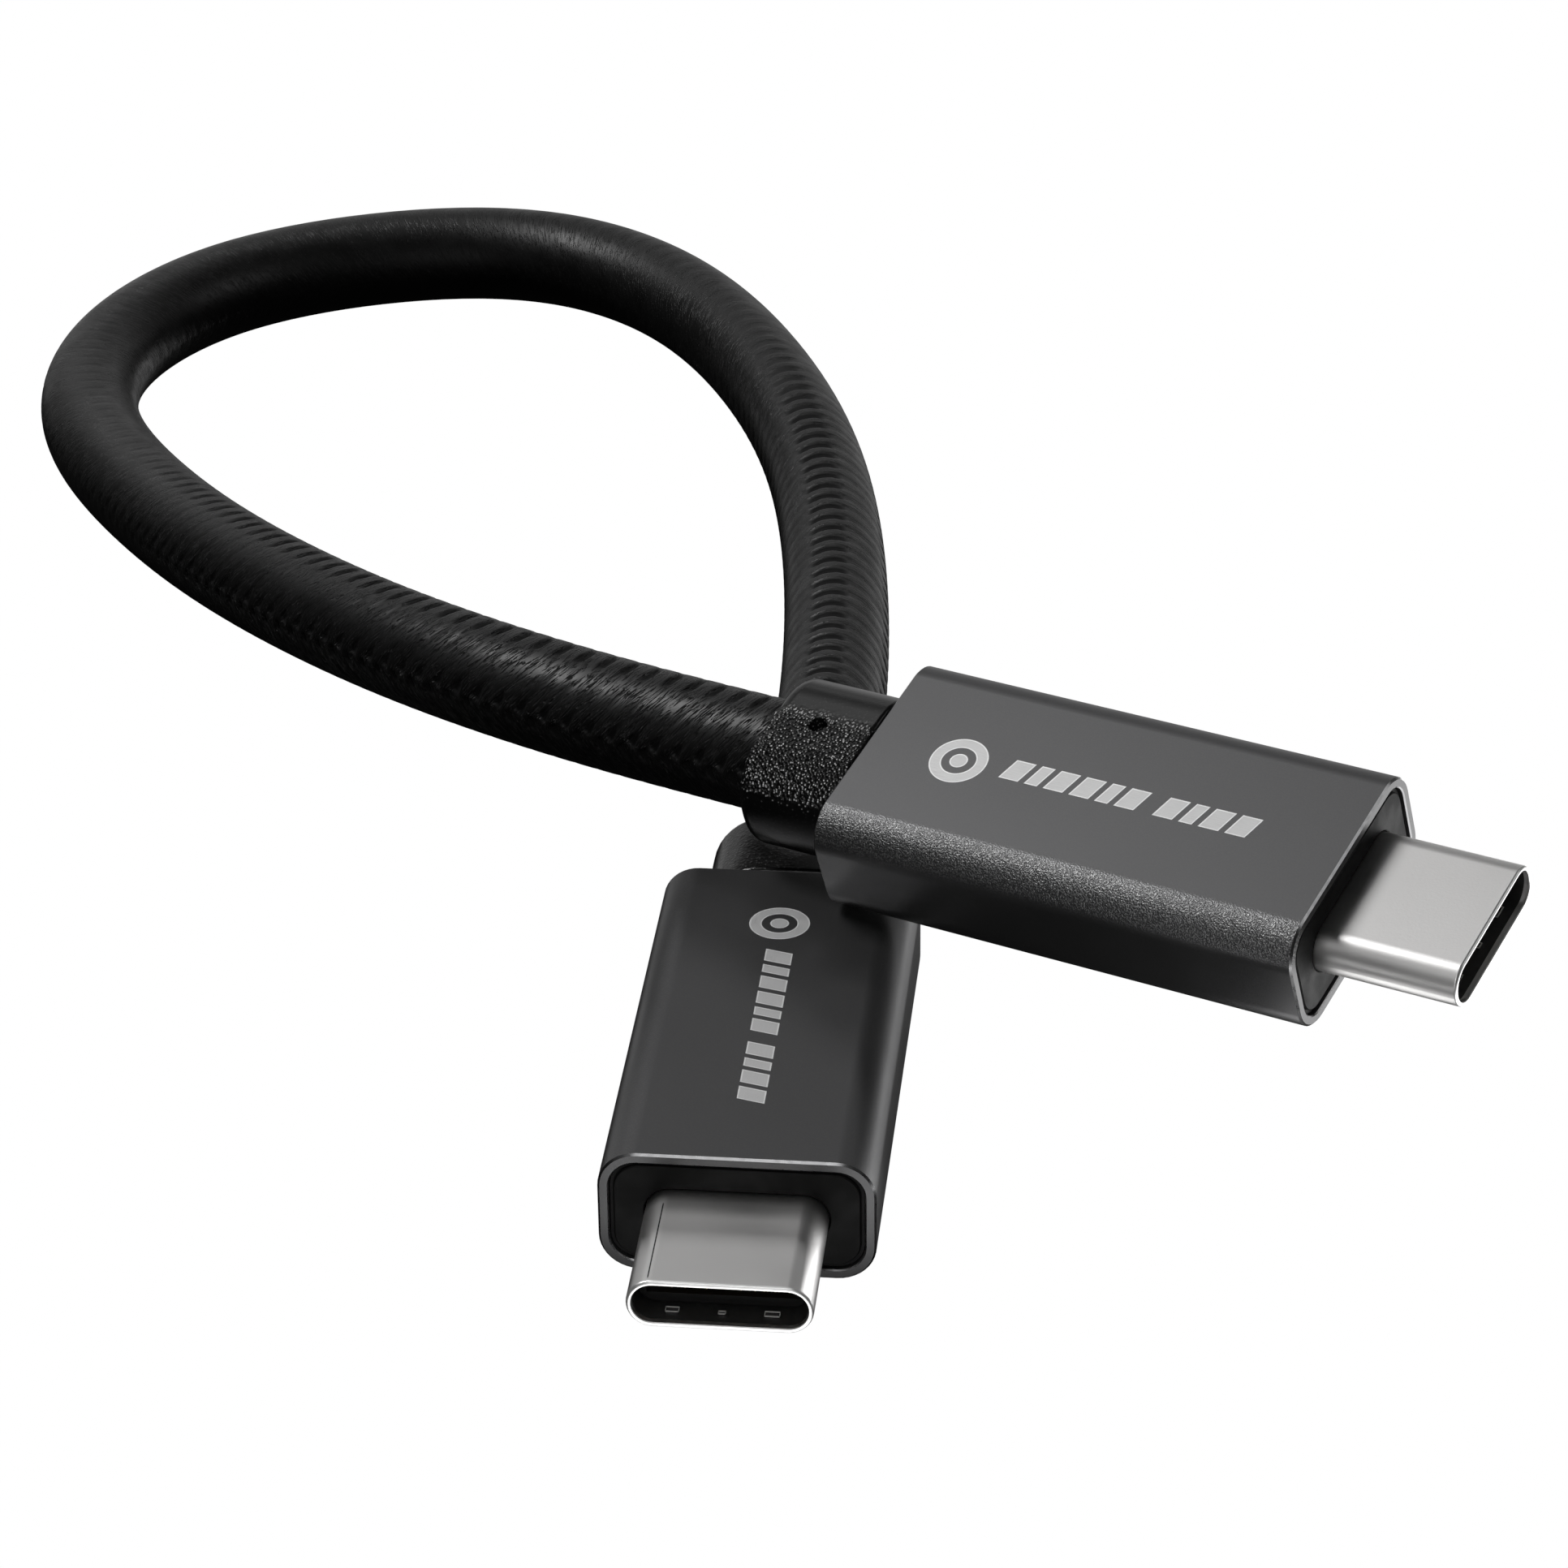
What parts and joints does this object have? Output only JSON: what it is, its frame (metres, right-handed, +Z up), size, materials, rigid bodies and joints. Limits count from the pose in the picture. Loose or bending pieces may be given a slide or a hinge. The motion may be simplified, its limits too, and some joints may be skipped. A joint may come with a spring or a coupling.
{
  "type": "charging cable",
  "caption": "Short braided charging cable with a flat reversible plug in a metal sleeve at each end, lying in one loop with one plug resting across the other.",
  "frame": {"origin": "middle of plug B's underside, on the table that the cable lies on", "axes": "+Z up; plug B points along -Y; +X is to its left seen along its nose from behind the cord, so the loop of cord lies towards -X"},
  "size_m": [0.0849, 0.1142, 0.0162],
  "materials": {
    "anodised_grey": "fine bead-blasted, dark grey anodised",
    "moulded_black": "moulded, fine spark texture",
    "rubber_black": "moulded rubber with a fine leather grain",
    "satin_steel": "satin stainless steel",
    "contact_plastic": "moulded, glass filled",
    "contact_gold": "gold flashed",
    "spring_steel": "stamped, bright",
    "board_green": "solder mask over glass laminate",
    "chip_black": "moulded package",
    "ceramic_tan": "fired ceramic with tinned ends",
    "can_steel": "folded and spot welded sheet",
    "woven_black": "close braid of flat yarns, low sheen",
    "jacket_black": "extruded",
    "tinned_copper": "braided copper",
    "aramid_yellow": "twisted yarn",
    "wire_red": "extruded insulation",
    "wire_black": "extruded insulation",
    "wire_blue": "extruded insulation",
    "wire_green": "extruded insulation",
    "wire_white": "extruded insulation"
  },
  "bodies": {
    "cable": {"housing_sleeve_a": "anodised_grey", "housing_sleeve_b": "anodised_grey", "core_mould_a": "moulded_black", "core_mould_b": "moulded_black", "strain_relief_a": "rubber_black", "strain_relief_b": "rubber_black", "plug_shell_a": "satin_steel", "plug_shell_b": "satin_steel", "contact_block_a": "contact_plastic", "contact_block_b": "contact_plastic", "ground_springs_a": "spring_steel", "ground_springs_b": "spring_steel", "paddle_board_a": "board_green", "paddle_board_b": "board_green", "marker_chip_b": "chip_black", "board_parts_a": "ceramic_tan", "board_parts_b": "ceramic_tan", "shield_can_upper_a": "can_steel", "shield_can_upper_b": "can_steel", "shield_can_lower_a": "can_steel", "shield_can_lower_b": "can_steel", "crimp_ring_a": "can_steel", "crimp_ring_b": "can_steel", "woven_sleeve": "woven_black", "cord_jacket": "jacket_black", "shield_braid": "tinned_copper", "strength_strand": "aramid_yellow", "vbus_wire": "wire_red", "ground_wire": "wire_black", "cc_wire": "wire_blue", "data_plus_wire": "wire_green", "data_minus_wire": "wire_white"},
    "upper_contacts_a": {"upper_contacts_a": "contact_gold"},
    "lower_contacts_a": {"lower_contacts_a": "contact_gold"},
    "latch_left_a": {"latch_left_a": "spring_steel"},
    "latch_right_a": {"latch_right_a": "spring_steel"},
    "upper_contacts_b": {"upper_contacts_b": "contact_gold"},
    "lower_contacts_b": {"lower_contacts_b": "contact_gold"},
    "latch_left_b": {"latch_left_b": "spring_steel"},
    "latch_right_b": {"latch_right_b": "spring_steel"}
  },
  "joints": [
    {"name": "upper_contacts_a_flex", "type": "hinge", "parent": "cable", "child": "upper_contacts_a", "pos_m": [0.02393, 0.00397, 0.01205], "axis": [-0.4048, -0.8607, -0.3087], "range_deg": [0, 0.8], "stiffness_Nm_per_rad": 0.002},
    {"name": "lower_contacts_a_flex", "type": "hinge", "parent": "cable", "child": "lower_contacts_a", "pos_m": [0.02409, 0.00421, 0.01119], "axis": [0.4048, 0.8607, 0.3087], "range_deg": [0, 0.8], "stiffness_Nm_per_rad": 0.002},
    {"name": "latch_left_a_flex", "type": "hinge", "parent": "cable", "child": "latch_left_a", "pos_m": [0.027, 0.00634, 0.01278], "axis": [-0.1728, -0.2596, 0.9502], "range_deg": [0, 1.3], "stiffness_Nm_per_rad": 0.002},
    {"name": "latch_right_a_flex", "type": "hinge", "parent": "cable", "child": "latch_right_a", "pos_m": [0.02416, 0.0003, 0.01061], "axis": [0.1728, 0.2596, -0.9502], "range_deg": [0, 1.3], "stiffness_Nm_per_rad": 0.002},
    {"name": "upper_contacts_b_flex", "type": "hinge", "parent": "cable", "child": "upper_contacts_b", "pos_m": [0, -0.00935, 0.00356], "axis": [-1, 0, 0], "range_deg": [0, 0.8], "stiffness_Nm_per_rad": 0.002},
    {"name": "lower_contacts_b_flex", "type": "hinge", "parent": "cable", "child": "lower_contacts_b", "pos_m": [0, -0.00935, 0.00265], "axis": [1, 0, 0], "range_deg": [0, 0.8], "stiffness_Nm_per_rad": 0.002},
    {"name": "latch_left_b_flex", "type": "hinge", "parent": "cable", "child": "latch_left_b", "pos_m": [0.00351, -0.0111, 0.0031], "axis": [0, 0, 1], "range_deg": [0, 1.3], "stiffness_Nm_per_rad": 0.002},
    {"name": "latch_right_b_flex", "type": "hinge", "parent": "cable", "child": "latch_right_b", "pos_m": [-0.00351, -0.0111, 0.0031], "axis": [0, 0, -1], "range_deg": [0, 1.3], "stiffness_Nm_per_rad": 0.002}
  ]
}
